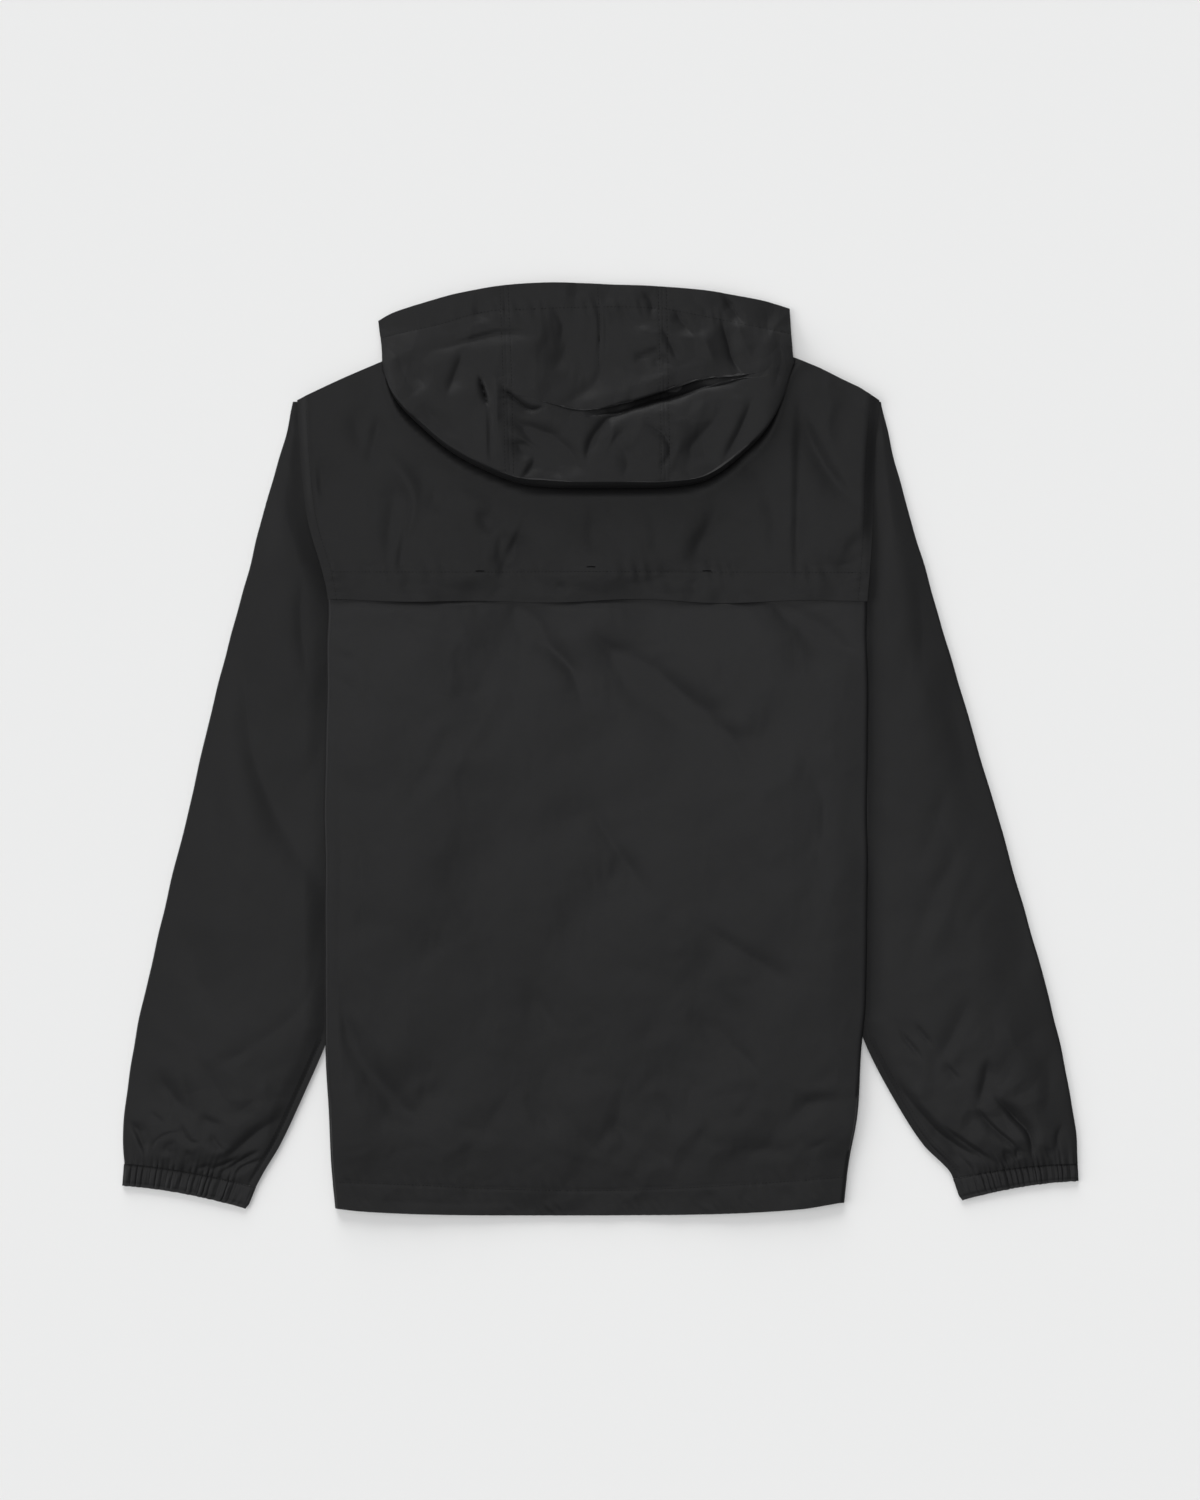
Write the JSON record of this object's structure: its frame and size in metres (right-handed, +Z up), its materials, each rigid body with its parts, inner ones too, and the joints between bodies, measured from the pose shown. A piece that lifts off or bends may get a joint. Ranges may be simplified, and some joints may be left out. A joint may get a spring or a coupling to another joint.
{
  "type": "windbreaker jacket",
  "caption": "Hooded windbreaker laid flat with its back up: caped yoke, long sleeves over which the body lies, gathered elastic cuffs, turned hem and a hood slumped on the shoulders.",
  "frame": {"origin": "on the surface that the jacket lies on, below the middle of its bounding box", "axes": "+X to the right of the view from above, +Y from the hem towards the hood, +Z up out of the jacket's back"},
  "size_m": [0.7978, 0.7776, 0.0281],
  "materials": {
    "nylon_cloth": "plain-weave nylon, low sheen",
    "zip_tape": "woven tape",
    "zip_teeth": "coil of moulded plastic",
    "slider_metal": "black enamel"
  },
  "bodies": {
    "root": {"back_yoke": "nylon_cloth", "back_lower": "nylon_cloth", "front_left": "nylon_cloth", "front_right": "nylon_cloth", "sleeve_left": "nylon_cloth", "sleeve_right": "nylon_cloth", "cuff_left": "nylon_cloth", "cuff_right": "nylon_cloth", "hood_left": "nylon_cloth", "hood_centre": "nylon_cloth", "hood_right": "nylon_cloth", "hood_inner_plies": "nylon_cloth", "hood_cheek_left": "nylon_cloth", "hood_cheek_right": "nylon_cloth", "zip_tape_left": "zip_tape", "zip_tape_right": "zip_tape", "zip_chain": "zip_teeth", "zip_slider": "slider_metal", "zip_pull": "zip_tape"}
  },
  "joints": []
}
